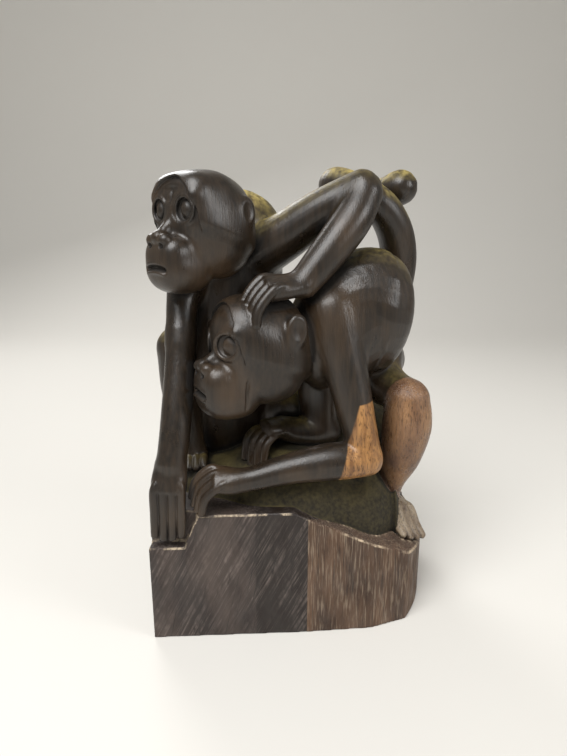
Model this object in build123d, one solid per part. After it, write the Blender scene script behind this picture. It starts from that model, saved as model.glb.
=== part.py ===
from build123d import *
import copy
import os

# Two monkeys carved from one block of dark wood. All lengths are in millimetres.
# X runs to the right along the front of the block, Y to its back and Z up.

# The block that the carving is cut from
stock_width = 178.0
stock_depth = 126.0
base_height = 84.0
figure_height = 196.0
heart_radius = 113.0
ground_thickness = 98.0
ledge_width = 26.0
ledge_depth = 8.0
ledge_height = 21.0

# Bodies
upper_torso_width = 68.0
upper_torso_depth = 55.0
lower_torso_width = 58.0
lower_torso_height = 77.0

# Heads
head_length = 74.0
head_width = 52.0
head_height = 73.0
eye_spacing = 22.0
eye_width = 10.5
eye_height = 14.0
socket_width = 15.0
socket_height = 18.0
brow_width = 40.0
brow_thickness = 9.0
nose_width = 15.0
nose_height = 9.0
mouth_width = 18.0
mouth_gap = 2.2
ear_width = 11.0
ear_height = 17.0
ear_thickness = 7.0

# Arms, legs and tails, each at its reference section
raised_upper_arm_thickness = 24.4
raised_forearm_thickness = 22.4
straight_upper_arm_thickness = 20.0
straight_forearm_thickness = 19.0
near_upper_arm_thickness = 24.6
near_forearm_thickness = 22.4
far_upper_arm_thickness = 23.0
far_forearm_thickness = 20.6
upper_thigh_thickness = 31.0
upper_shin_thickness = 22.0
lower_thigh_thickness = 35.0
lower_shin_thickness = 30.0
upper_tail_thickness = 14.0
lower_tail_thickness = 24.0

# Hands and feet
hand_width = 22.0
hand_thickness = 13.0
finger_thickness = 5.0
foot_width = 22.0
foot_thickness = 15.0
toe_thickness = 5.0

# Places are shares of the stock: across its width, back through its depth and up the figures from the
# top of the base. A limb has its two ends and its thickness at even steps between them, as shares of its
# reference thickness. A body or tail has a row for each section, with its size there in the last columns.
upper_torso_shares = (
    (0.247, 0.683, 0.061, 0.79, 0.87),
    (0.247, 0.667, 0.209, 0.85, 0.91),
    (0.253, 0.643, 0.413, 0.91, 0.95),
    (0.270, 0.627, 0.653, 1.00, 1.00),
    (0.287, 0.643, 0.811, 0.88, 0.95),
)
lower_torso_shares = (
    (0.556, 0.310, 0.470, 0.54, 0.66),
    (0.601, 0.333, 0.495, 0.72, 0.78),
    (0.657, 0.369, 0.556, 0.88, 0.85),
    (0.725, 0.413, 0.582, 0.98, 0.98),
    (0.792, 0.452, 0.582, 1.00, 1.00),
    (0.854, 0.476, 0.556, 0.89, 0.90),
    (0.899, 0.492, 0.526, 0.66, 0.70),
)
limb_shares = {
    "carved_ground": ((0.230, 0.444, -0.112), (0.680, 0.444, -0.112), (0.80, 0.97, 1.00, 0.97, 0.80)),
    "upper_left_upper_arm": ((0.365, 0.540, 0.755), (0.710, 0.378, 0.924), (1.39, 1.19, 1.00, 0.92)),
    "upper_left_forearm": ((0.680, 0.349, 0.883), (0.522, 0.190, 0.689), (0.74, 1.00, 0.96, 0.79)),
    "upper_right_upper_arm": ((0.163, 0.540, 0.735), (0.099, 0.275, 0.515), (1.50, 1.32, 1.10, 1.00)),
    "upper_right_forearm": ((0.099, 0.290, 0.540), (0.081, 0.079, 0.158), (1.05, 1.03, 0.97, 0.92)),
    "upper_right_thigh": ((0.174, 0.714, 0.143), (0.073, 0.444, 0.321), (1.10, 1.00, 0.81)),
    "upper_right_shin": ((0.073, 0.429, 0.306), (0.107, 0.429, 0.122), (1.09, 1.00, 0.82)),
    "upper_left_thigh": ((0.343, 0.730, 0.092), (0.478, 0.532, 0.097), (1.03, 0.94, 0.77)),
    "upper_tail": ((0.253, 0.840, 0.090), (0.520, 0.910, 0.036), (1.14, 1.00, 0.89, 0.79)),
    "lower_left_upper_arm": ((0.612, 0.286, 0.592), (0.736, 0.143, 0.158), (1.38, 1.20, 1.00, 0.86, 0.78)),
    "lower_left_forearm": (
        (0.742, 0.143, 0.150), (0.292, 0.048, 0.106), (0.86, 1.00, 0.96, 0.80, 0.66, 0.62),
    ),
    "lower_right_upper_arm": ((0.604, 0.476, 0.551), (0.610, 0.460, 0.204), (1.39, 1.17, 1.00, 0.87)),
    "lower_right_forearm": ((0.625, 0.452, 0.173), (0.449, 0.373, 0.199), (0.80, 0.95, 0.85, 0.74)),
    "lower_left_thigh": ((0.826, 0.556, 0.429), (0.893, 0.373, 0.337), (1.03, 0.97, 0.66)),
    "lower_left_shin": ((0.902, 0.325, 0.311), (0.876, 0.428, -0.066), (0.93, 1.00, 0.84, 0.62, 0.52)),
    "lower_right_thigh": ((0.826, 0.635, 0.418), (0.893, 0.770, 0.330), (1.03, 0.94, 0.64)),
    "lower_right_shin": ((0.899, 0.802, 0.316), (0.846, 0.732, -0.064), (0.90, 0.95, 0.80, 0.59, 0.52)),
}
limb_thickness = {
    "carved_ground": ground_thickness,
    "upper_left_upper_arm": raised_upper_arm_thickness,
    "upper_left_forearm": raised_forearm_thickness,
    "upper_right_upper_arm": straight_upper_arm_thickness,
    "upper_right_forearm": straight_forearm_thickness,
    "upper_right_thigh": upper_thigh_thickness,
    "upper_right_shin": upper_shin_thickness,
    "upper_left_thigh": upper_thigh_thickness,
    "upper_tail": upper_tail_thickness,
    "lower_left_upper_arm": near_upper_arm_thickness,
    "lower_left_forearm": near_forearm_thickness,
    "lower_right_upper_arm": far_upper_arm_thickness,
    "lower_right_forearm": far_forearm_thickness,
    "lower_left_thigh": lower_thigh_thickness,
    "lower_left_shin": lower_shin_thickness,
    "lower_right_thigh": lower_thigh_thickness,
    "lower_right_shin": lower_shin_thickness,
}
lower_tail_shares = (
    (0.860, 0.540, 0.440, 0.75),
    (0.893, 0.651, 0.515, 0.92),
    (0.899, 0.683, 0.633, 1.00),
    (0.902, 0.683, 0.735, 1.02),
    (0.871, 0.651, 0.827, 0.98),
    (0.809, 0.611, 0.903, 0.93),
    (0.736, 0.603, 0.954, 0.92),
    (0.680, 0.643, 0.974, 0.92),
    (0.646, 0.714, 0.982, 0.92),
    (0.669, 0.802, 0.985, 0.92),
    (0.747, 0.857, 0.985, 0.92),
    (0.831, 0.849, 0.980, 0.92),
    (0.899, 0.810, 0.974, 0.97),
)
tail_bend = 6

# A hand or foot runs from the wrist or heel to the knuckles and on to the tips of its fingers or toes.
paw_shares = {
    "upper_right_hand": ((0.080, 0.075, 0.150), (0.072, 0.022, 0.060), (0.068, 0.012, -0.082)),
    "upper_left_hand": ((0.517, 0.183, 0.684), (0.392, 0.110, 0.664), (0.348, 0.071, 0.592)),
    "lower_left_hand": ((0.298, 0.055, 0.105), (0.228, 0.062, 0.106), (0.184, 0.040, 0.022)),
    "lower_right_hand": ((0.455, 0.373, 0.199), (0.378, 0.315, 0.200), (0.348, 0.262, 0.110)),
    "upper_right_foot": ((0.107, 0.510, 0.088), (0.114, 0.420, 0.092), (0.121, 0.333, 0.084)),
    "lower_left_foot": ((0.865, 0.492, -0.105), (0.910, 0.361, -0.135), (0.944, 0.286, -0.178)),
    "lower_right_foot": ((0.831, 0.698, -0.092), (0.886, 0.780, -0.102), (0.938, 0.841, -0.155)),
}
paw_across = {
    "upper_right_hand": Vector(1, 0, 0),
    "upper_left_hand": Vector(0.45, -0.75, -0.45),
    "lower_left_hand": Vector(0.55, -0.65, -0.5),
    "lower_right_hand": Vector(0.85, -0.5, -0.1),
    "upper_right_foot": Vector(1, 0.1, 0),
    "lower_left_foot": Vector(0.74, 0.58, -0.33),
    "lower_right_foot": Vector(0.6, -0.75, -0.3),
}
palm_share = 0.85
finger_shares = (1.0, 1.0, 0.8)

# Sections of a head from the back of the skull over the flat face to the lips: place along the head,
# height of the middle, half width and half height, as shares of its length, height, width and height.
head_shares = (
    (-0.420, 0.026, 0.185, 0.171),
    (-0.340, 0.020, 0.343, 0.316),
    (-0.160, 0.007, 0.472, 0.447),
    (0.030, -0.007, 0.500, 0.493),
    (0.190, -0.013, 0.472, 0.487),
    (0.284, -0.020, 0.426, 0.460),
    (0.338, -0.040, 0.389, 0.414),
    (0.378, -0.105, 0.361, 0.342),
    (0.412, -0.197, 0.333, 0.270),
    (0.460, -0.257, 0.296, 0.230),
    (0.514, -0.276, 0.231, 0.184),
)
head_end_share = 0.27
rump_end_share = 0.38
eye_place_shares = (0.358, 0.105)
socket_place_shares = (0.412, 0.105)
brow_place_shares = (0.345, 0.224)
nose_place_shares = (0.486, -0.092)
mouth_place_shares = (0.545, -0.345)
upper_ear_place_shares = (-0.140, 0.130)
lower_ear_place_shares = (-0.230, 0.190)
upper_head_place_shares = (0.211, 0.310, 0.826)
lower_head_place_shares = (0.371, 0.222, 0.474)
upper_head_turn = 222.0
lower_head_turn = 198.0
lower_head_nod = 6.0

# Outline of the base and the sloping facet on its right, which carries one foot
front_left_shares = (0.0, 0.0)
crack_shares = (0.539, 0.040)
front_middle_shares = (0.770, 0.071)
front_right_shares = (0.904, 0.143)
back_right_shares = (0.961, 0.913)
back_left_shares = (0.028, 0.968)
side_arc_shares = (front_right_shares, (1.0, 0.480), back_right_shares)
heart_place_shares = (0.118, 0.714)
facet_shares = ((0.545, 0.040, -0.026), (0.921, 0.159, -0.186), (1.0, 0.413, -0.214))

egg_shares = (
    (-0.98, 0.20), (-0.85, 0.527), (-0.5, 0.866), (0.0, 1.0), (0.5, 0.866), (0.85, 0.527), (0.98, 0.20)
)
finger_count = 4
sliver_share = 0.002
round_end_shares = ((0.5, 0.866), (0.85, 0.527), (0.97, 0.243))


def place(shares):
    return Vector(
        stock_width * shares[0],
        stock_depth * shares[1],
        base_height + figure_height * shares[2],
    )


def on_floor(shares):
    return Vector(stock_width * shares[0], stock_depth * shares[1], 0)


def section(centre, direction, across, half_width, half_depth):
    flat = Plane(origin=centre, x_dir=across, z_dir=direction)
    return Wire.make_ellipse(half_width, half_depth, flat)


def form(points, half_widths, half_depths, across=None, direction=None, end_share=1.0,
         rows=None, flat_start=False, flat_end=False):
    """A form through oval sections along a line of points, with rounded or flat ends."""
    count = len(points)
    directions = []
    for i in range(count):
        behind = points[max(i - 1, 0)]
        ahead = points[min(i + 1, count - 1)]
        directions.append(direction or (ahead - behind).normalized())
    side = across or directions[0].cross(Vector(0.3, 0.5, 0.8))
    sides = []
    for along in directions:
        side = (side - along * side.dot(along)).normalized()
        sides.append(side)

    def ring(i, outward, step, size):
        reach = min(half_widths[i], half_depths[i]) * end_share
        centre = points[i] + outward * reach * step
        return section(centre, directions[i], sides[i], half_widths[i] * size, half_depths[i] * size)

    def end_cap(i, outward):
        return [ring(i, outward, step, size) for step, size in round_end_shares]

    rows = rows or range(count)
    sections = [ring(i, directions[i], 0, 1) for i in rows]
    if not flat_start:
        sections = end_cap(rows[0], -directions[rows[0]])[::-1] + sections
    if not flat_end:
        sections = sections + end_cap(rows[-1], directions[rows[-1]])
    return Solid.make_loft(sections)


def spindle(start, end, radii):
    """A turned form with rounded ends whose radius changes at even steps from start to end."""
    length = (end - start).length
    step = length / (len(radii) - 1)
    outline = [(radii[0] * size, -radii[0] * reach) for reach, size in reversed(round_end_shares)]
    outline += [(radius, step * i) for i, radius in enumerate(radii)]
    outline += [(radii[-1] * size, length + radii[-1] * reach) for reach, size in round_end_shares]
    reach, size = round_end_shares[-1]
    side = Spline(outline, tangents=((reach, size), (-reach, size)))
    bottom, top = (0, outline[0][1]), (0, outline[-1][1])
    inside = Line(outline[-1], top) + Line(top, bottom) + Line(bottom, outline[0])
    profile = make_face(side + inside)
    turned = revolve(Plane.XZ * profile, Axis.Z)
    return Plane(origin=start, z_dir=end - start).location * turned


def limb(name):
    start, end, thickness_shares = limb_shares[name]
    radii = [limb_thickness[name] / 2 * share for share in thickness_shares]
    return spindle(place(start), place(end), radii)


def tail(rows, flat_start, flat_end):
    points = [place(row) for row in lower_tail_shares]
    radii = [lower_tail_thickness / 2 * row[3] for row in lower_tail_shares]
    return form(points, radii, radii, flat_start=flat_start, flat_end=flat_end, rows=rows)


def egg(half_length, half_width, half_height):
    """An oval form about the origin, with its sections square to Y."""
    rows = range(len(egg_shares))
    points = [Vector(0, half_width * share[0], 0) for share in egg_shares]
    half_lengths = [half_length * share[1] for share in egg_shares]
    half_heights = [half_height * share[1] for share in egg_shares]
    return form(
        points, half_heights, half_lengths, Vector(0, 0, 1), Vector(0, 1, 0),
        rows=rows, flat_start=True, flat_end=True,
    )


def paw(name, width, thickness, finger):
    """A palm or sole with a row of fingers or toes that reach down to their tips."""
    wrist, knuckle, tip = [place(row) for row in paw_shares[name]]
    across = paw_across[name].normalized()
    along = knuckle - wrist
    flat = Plane(origin=(wrist + knuckle) / 2, x_dir=along, z_dir=along.cross(across))
    palm = flat.location * egg(along.length * palm_share, width / 2, thickness / 2)
    spread = width / finger_count
    radii = [finger / 2 * share for share in finger_shares]
    fingers = []
    for i in range(finger_count):
        offset = across * spread * (i - (finger_count - 1) / 2)
        fingers.append(spindle(knuckle + offset, tip + offset, radii))
    return palm + fingers


def hand(name):
    return paw(name, hand_width, hand_thickness, finger_thickness)


def foot(name):
    return paw(name, foot_width, foot_thickness, toe_thickness)


def skull():
    points = [Vector(head_length * row[0], 0, head_height * row[1]) for row in head_shares]
    half_widths = [head_width * row[2] for row in head_shares]
    half_heights = [head_height * row[3] for row in head_shares]
    return form(points, half_widths, half_heights, Vector(0, 1, 0), Vector(1, 0, 0), head_end_share)


def on_face(shares, sideways=0.0):
    return Pos(head_length * shares[0], sideways, head_height * shares[1])


def head():
    """A monkey's head that looks along X, with brow, sunk eyes, flat nose and parted lips."""
    sides = (-eye_spacing / 2, eye_spacing / 2)
    brow = on_face(brow_place_shares) * egg(brow_thickness / 2, brow_width / 2, brow_thickness / 2)
    socket = egg(socket_width / 2, socket_width / 2, socket_height / 2)
    eye = egg(eye_width / 2, eye_width / 2, eye_height / 2)
    nose = on_face(nose_place_shares) * egg(nose_height / 2, nose_width / 2, nose_height / 2)
    mouth = on_face(mouth_place_shares) * Cylinder(mouth_width / 2, mouth_gap)
    solid = skull() + brow + nose - mouth
    solid = solid - [on_face(socket_place_shares, side) * socket for side in sides]
    return solid + [on_face(eye_place_shares, side) * eye for side in sides]


def ear(place_shares, side):
    lobe = egg(ear_width / 2, ear_thickness / 2, ear_height / 2)
    return on_face(place_shares, side * head_width / 2) * lobe


def base():
    outline = Curve() + [
        Line(on_floor(front_left_shares), on_floor(crack_shares)),
        Line(on_floor(crack_shares), on_floor(front_middle_shares)),
        Line(on_floor(front_middle_shares), on_floor(front_right_shares)),
        ThreePointArc(*[on_floor(row) for row in side_arc_shares]),
        Line(on_floor(back_right_shares), on_floor(back_left_shares)),
        Line(on_floor(back_left_shares), on_floor(front_left_shares)),
    ]
    block = extrude(make_face(outline), base_height)
    corner, front, side = [place(row) for row in facet_shares]
    slope = Plane(origin=corner, x_dir=front - corner, z_dir=(front - corner).cross(side - corner))
    block = split(block, bisect_by=slope, keep=Keep.BOTTOM)
    ledge = Pos(ledge_width / 2, 0, base_height) * Box(ledge_width * 2, ledge_depth * 2, ledge_height * 2)
    return block - ledge


def heart():
    column = Cylinder(heart_radius, base_height, align=(Align.CENTER, Align.CENTER, Align.MIN))
    return Pos(on_floor(heart_place_shares)) * column


upper_head_frame = Pos(place(upper_head_place_shares)) * Rot(0, 0, upper_head_turn)
lower_head_tilt = Rot(0, 0, lower_head_turn) * Rot(0, lower_head_nod, 0)
lower_head_frame = Pos(place(lower_head_place_shares)) * lower_head_tilt


def upper_torso():
    points = [place(row) for row in upper_torso_shares]
    half_widths = [upper_torso_width / 2 * row[3] for row in upper_torso_shares]
    half_depths = [upper_torso_depth / 2 * row[4] for row in upper_torso_shares]
    return form(points, half_widths, half_depths, Vector(1, 0, 0), Vector(0, 0, 1))


def lower_torso():
    points = [place(row) for row in lower_torso_shares]
    half_widths = [lower_torso_width / 2 * row[3] for row in lower_torso_shares]
    half_heights = [lower_torso_height / 2 * row[4] for row in lower_torso_shares]
    return form(points, half_widths, half_heights, Vector(0, 1, 0), Vector(1, 0, 0), rump_end_share)


block = base()
heart_column = heart()
forms = {
    "base_heartwood": block & heart_column,
    "base_sapwood": block - heart_column,
    "carved_ground": limb("carved_ground"),
    "upper_torso": upper_torso(),
    "lower_torso": lower_torso(),
    "upper_head": upper_head_frame * head(),
    "lower_head": lower_head_frame * head(),
    "lower_left_thigh": limb("lower_left_thigh"),
    "lower_right_thigh": limb("lower_right_thigh"),
    "upper_right_thigh": limb("upper_right_thigh"),
    "upper_left_thigh": limb("upper_left_thigh"),
    "lower_left_shin": limb("lower_left_shin"),
    "lower_right_shin": limb("lower_right_shin"),
    "upper_right_shin": limb("upper_right_shin"),
    "upper_left_upper_arm": limb("upper_left_upper_arm"),
    "upper_right_upper_arm": limb("upper_right_upper_arm"),
    "lower_left_upper_arm": limb("lower_left_upper_arm"),
    "lower_right_upper_arm": limb("lower_right_upper_arm"),
    "upper_left_forearm": limb("upper_left_forearm"),
    "upper_right_forearm": limb("upper_right_forearm"),
    "lower_left_forearm": limb("lower_left_forearm"),
    "lower_right_forearm": limb("lower_right_forearm"),
    "lower_tail": tail(range(tail_bend + 1), False, True),
    "lower_tail_curl": tail(range(tail_bend, len(lower_tail_shares)), True, False),
    "upper_tail": limb("upper_tail"),
    "upper_left_hand": hand("upper_left_hand"),
    "upper_right_hand": hand("upper_right_hand"),
    "lower_left_hand": hand("lower_left_hand"),
    "lower_right_hand": hand("lower_right_hand"),
    "lower_left_foot": foot("lower_left_foot"),
    "lower_right_foot": foot("lower_right_foot"),
    "upper_right_foot": foot("upper_right_foot"),
    "upper_left_ear": upper_head_frame * ear(upper_ear_place_shares, 1),
    "upper_right_ear": upper_head_frame * ear(upper_ear_place_shares, -1),
    "lower_left_ear": lower_head_frame * ear(lower_ear_place_shares, 1),
    "lower_right_ear": lower_head_frame * ear(lower_ear_place_shares, -1),
}


boxes = {name: raw.bounding_box(optimal=False) for name, raw in forms.items()}


def apart(first, second):
    one, two = boxes[first], boxes[second]
    return (
        one.max.X < two.min.X or two.max.X < one.min.X
        or one.max.Y < two.min.Y or two.max.Y < one.min.Y
        or one.max.Z < two.min.Z or two.max.Z < one.min.Z
    )


# Each form gives way to every form before it in the list, so that neighbours meet face to face.
pieces = {}
names = list(forms)
for order, name in enumerate(names):
    trimmed = copy.deepcopy(forms[name])
    for earlier in names[:order]:
        if not apart(name, earlier):
            trimmed = trimmed - copy.deepcopy(forms[earlier])
    smallest = sliver_share * forms[name].volume
    pieces[name] = [solid for solid in trimmed.solids() if solid.volume > smallest]

corners = [solid.bounding_box() for solids in pieces.values() for solid in solids]
left, right = min(box.min.X for box in corners), max(box.max.X for box in corners)
front, back = min(box.min.Y for box in corners), max(box.max.Y for box in corners)
to_origin = Pos(-(left + right) / 2, -(front + back) / 2, 0)

os.makedirs("parts", exist_ok=True)
for name, solids in pieces.items():
    export_step(to_origin * Compound(solids), f"parts/{name}.step")
print(len(pieces), "forms,", round(right - left, 1), "x", round(back - front, 1))
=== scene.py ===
# %% [markdown]
# # Two monkeys carved from one block of ebony
#
# The real object was cut by hand from one block: nothing on it is screwed, glued or jointed. A carver
# roughs out limbs as round bars, lets them run into each other, and only then cuts faces, fingers and toes.
# This lesson works in the same order. Geometry Nodes sweep the limbs along their lines, a level set (a grid
# that stores the distance to a surface) lets them flow together, and the faces are cut into that grid.

# %% Load the frame
import math
from collections import namedtuple
from concurrent.futures import ThreadPoolExecutor

import bpy
import numpy as np
import openvdb as vdb
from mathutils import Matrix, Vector


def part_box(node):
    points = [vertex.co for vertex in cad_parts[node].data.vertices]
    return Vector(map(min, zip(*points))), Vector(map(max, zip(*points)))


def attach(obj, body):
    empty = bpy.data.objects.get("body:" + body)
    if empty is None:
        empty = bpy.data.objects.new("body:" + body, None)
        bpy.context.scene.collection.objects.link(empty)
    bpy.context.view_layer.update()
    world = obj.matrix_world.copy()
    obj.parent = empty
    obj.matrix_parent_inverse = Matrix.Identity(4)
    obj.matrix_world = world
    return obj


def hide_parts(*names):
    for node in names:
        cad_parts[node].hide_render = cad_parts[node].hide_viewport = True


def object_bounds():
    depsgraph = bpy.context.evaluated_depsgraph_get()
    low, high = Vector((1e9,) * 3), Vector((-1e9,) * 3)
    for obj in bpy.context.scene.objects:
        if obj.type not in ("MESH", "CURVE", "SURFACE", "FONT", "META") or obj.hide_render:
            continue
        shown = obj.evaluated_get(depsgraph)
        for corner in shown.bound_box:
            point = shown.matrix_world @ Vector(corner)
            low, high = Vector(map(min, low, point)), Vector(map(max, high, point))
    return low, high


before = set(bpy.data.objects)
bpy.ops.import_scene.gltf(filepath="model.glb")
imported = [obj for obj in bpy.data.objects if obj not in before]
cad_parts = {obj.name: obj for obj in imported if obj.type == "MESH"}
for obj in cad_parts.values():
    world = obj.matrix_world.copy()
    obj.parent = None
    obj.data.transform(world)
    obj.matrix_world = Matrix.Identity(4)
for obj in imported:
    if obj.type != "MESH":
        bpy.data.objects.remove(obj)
cad_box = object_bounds()
mm = 0.001
print("nodes in the frame:", len(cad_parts))

# %% [markdown]
# ## One set of places
#
# Sizes below are in millimetres from the point of the table under the camera's line of sight, on the
# line of the base's front left corner. The frame says where that corner is, so one shift carries every
# place into it.

# %% Find the shift into the frame
front_left_x = -81.0
base_low, base_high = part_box("base_heartwood")
shift = np.array([base_low.x / mm - front_left_x, base_low.y / mm, 0.0])
print("shift into the frame, mm:", shift.round(2))

# %% [markdown]
# ## The camera
#
# The block's edges in the picture converge as they do for a phone at about a third of a metre. A lens of
# 27 mm on a 36 mm frame, tilted 15 degrees down, gives the same edges.

# %% Place the camera
image_height = 756
focal_pixels = 568.0
camera_place = np.array([0.0, -302.5, 250.0])
camera_tilt = 15.0

camera_data = bpy.data.cameras.new("photo_camera")
camera_data.lens = focal_pixels / image_height * camera_data.sensor_width
camera_data.clip_start = 0.01
camera = bpy.data.objects.new("photo_camera", camera_data)
camera.location = (camera_place + shift) * mm
camera.rotation_euler = (math.radians(90.0 - camera_tilt), 0.0, 0.0)
bpy.context.scene.collection.objects.link(camera)
bpy.context.scene.camera = camera
print("lens, mm:", round(camera_data.lens, 2))

# %% [markdown]
# ## One function for every node
#
# Trees of nodes make the limbs and, later, the finishes. All of them are wired by one small function, so a
# step of a tree reads as one line: the kind of node, what goes in, and how it is set.

# %% Add a node
def add_node(tree, kind, inputs=None, **settings):
    """Adds a node with its settings; an input is a plain value or another node's socket."""
    node = tree.nodes.new(kind)
    for name, value in settings.items():
        setattr(node, name, value)
    for socket, value in (inputs or {}).items():
        if isinstance(value, bpy.types.NodeSocket):
            tree.links.new(value, node.inputs[socket])
        else:
            node.inputs[socket].default_value = value
    return node


# %% [markdown]
# ## Limbs that follow a line
#
# An arm is a round bar that swells and thins along a bent line. A curve with a bevel could draw it, but
# its thickness would then sit in the curve's points. A small Geometry Nodes tree keeps the rule in one
# place: it turns a chain of points into a smooth curve and sweeps an oval along it, as thick as each
# point says.

# %% Build the sweeping tree
sweep_tree = bpy.data.node_groups.new("limb_sweep", "GeometryNodeTree")
sweep_inputs = {}
for name, kind in (
    ("Chain", "NodeSocketGeometry"), ("Step", "NodeSocketFloat"), ("Flatness", "NodeSocketFloat"),
    ("Flat side", "NodeSocketVector"), ("Material", "NodeSocketMaterial"),
):
    socket = sweep_tree.interface.new_socket(name, in_out="INPUT", socket_type=kind)
    sweep_inputs[name] = socket.identifier
sweep_tree.interface.new_socket("Limb", in_out="OUTPUT", socket_type="NodeSocketGeometry")
group_in = add_node(sweep_tree, "NodeGroupInput").outputs
line = add_node(sweep_tree, "GeometryNodeMeshToCurve", {"Mesh": group_in["Chain"]})
line = add_node(
    sweep_tree, "GeometryNodeCurveSplineType", {"Curve": line.outputs[0]}, spline_type="CATMULL_ROM"
)
line = add_node(
    sweep_tree, "GeometryNodeResampleCurve",
    {"Curve": line.outputs[0], "Length": group_in["Step"]}, mode="LENGTH",
)
tangent = add_node(sweep_tree, "GeometryNodeInputTangent").outputs[0]
lean = add_node(
    sweep_tree, "ShaderNodeVectorMath",
    {0: group_in["Flat side"], 1: tangent}, operation="PROJECT",
)
upright = add_node(
    sweep_tree, "ShaderNodeVectorMath",
    {0: group_in["Flat side"], 1: lean.outputs[0]}, operation="SUBTRACT",
)
upright = add_node(sweep_tree, "ShaderNodeVectorMath", {0: upright.outputs[0]}, operation="NORMALIZE")
line = add_node(
    sweep_tree, "GeometryNodeSetCurveNormal",
    {"Curve": line.outputs[0], "Normal": upright.outputs[0]}, mode="FREE",
)
oval_scale = add_node(
    sweep_tree, "ShaderNodeCombineXYZ", {"X": group_in["Flatness"], "Y": 1.0, "Z": 1.0}
)
circle = add_node(sweep_tree, "GeometryNodeCurvePrimitiveCircle", {"Resolution": 28, "Radius": 1.0})
oval = add_node(
    sweep_tree, "GeometryNodeTransform", {"Geometry": circle.outputs[0], "Scale": oval_scale.outputs[0]}
)
thickness = add_node(
    sweep_tree, "GeometryNodeInputNamedAttribute", {"Name": "thickness"}, data_type="FLOAT"
)
limb = add_node(
    sweep_tree, "GeometryNodeCurveToMesh",
    {
        "Curve": line.outputs[0], "Profile Curve": oval.outputs[0],
        "Scale": thickness.outputs["Attribute"], "Fill Caps": True,
    },
)
limb = add_node(sweep_tree, "GeometryNodeRealizeInstances", {"Geometry": limb.outputs[0]})
limb = add_node(
    sweep_tree, "GeometryNodeSetMaterial", {"Geometry": limb.outputs[0], "Material": group_in["Material"]}
)
add_node(sweep_tree, "NodeGroupOutput", {"Limb": limb.outputs[0]})
print("nodes in the sweeping tree:", len(sweep_tree.nodes))

# %% [markdown]
# A bar has round ends, so the sweep adds a few shrinking rows past its first and last point. The result is
# read back as plain triangles, which the level set needs.

# %% Sweep one limb
Skin = namedtuple("Skin", "points triangles")
round_end_shares = ((0.5, 0.866), (0.85, 0.527), (0.99, 0.14))


def triangles_of(mesh):
    points = np.empty(len(mesh.vertices) * 3, np.float32)
    mesh.vertices.foreach_get("co", points)
    mesh.calc_loop_triangles()
    triangles = np.empty(len(mesh.loop_triangles) * 3, np.int32)
    mesh.loop_triangles.foreach_get("vertices", triangles)
    return Skin(points.reshape(-1, 3), triangles.reshape(-1, 3).astype(np.uint32))


def end_rows(last, before, end_share):
    """Rows that close a bar with a round end past its last row."""
    last, before = np.array(last, float), np.array(before, float)
    outward = last[:3] - before[:3]
    outward *= last[3] * end_share / np.linalg.norm(outward)
    return [(*(last[:3] + outward * reach), last[3] * size) for reach, size in round_end_shares]


def bend_side(rows):
    """The direction square to the plane that a line bends in."""
    places = np.array([row[:3] for row in rows], float)
    return tuple(np.linalg.svd(places - places.mean(0))[2][2])


def sweep(rows, step=2.0, flatness=1.0, flat_side=None, end_share=1.0):
    """A bar with round ends through rows of x, y, z and thickness from its middle, in millimetres."""
    flat_side = flat_side or bend_side(rows)
    first_end = end_rows(rows[0], rows[1], end_share)[::-1]
    chain = first_end + list(rows) + end_rows(rows[-1], rows[-2], end_share)
    mesh = bpy.data.meshes.new("chain")
    mesh.from_pydata([row[:3] for row in chain], [(i, i + 1) for i in range(len(chain) - 1)], [])
    thickness = mesh.attributes.new("thickness", "FLOAT", "POINT")
    thickness.data.foreach_set("value", [row[3] for row in chain])
    holder = bpy.data.objects.new("chain", mesh)
    bpy.context.scene.collection.objects.link(holder)
    modifier = holder.modifiers.new("limb_sweep", "NODES")
    modifier.node_group = sweep_tree
    modifier[sweep_inputs["Step"]] = step
    modifier[sweep_inputs["Flatness"]] = flatness
    modifier[sweep_inputs["Flat side"]] = flat_side
    evaluated = holder.evaluated_get(bpy.context.evaluated_depsgraph_get())
    swept = bpy.data.meshes.new_from_object(evaluated)
    skin = triangles_of(swept)
    bpy.data.objects.remove(holder)
    bpy.data.meshes.remove(mesh)
    bpy.data.meshes.remove(swept)
    return skin


# %% [markdown]
# Each row is a place on a limb's middle line and half its thickness there, read off the photograph with the
# camera above. The far sides, which it doesn't show, follow the near ones.

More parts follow.
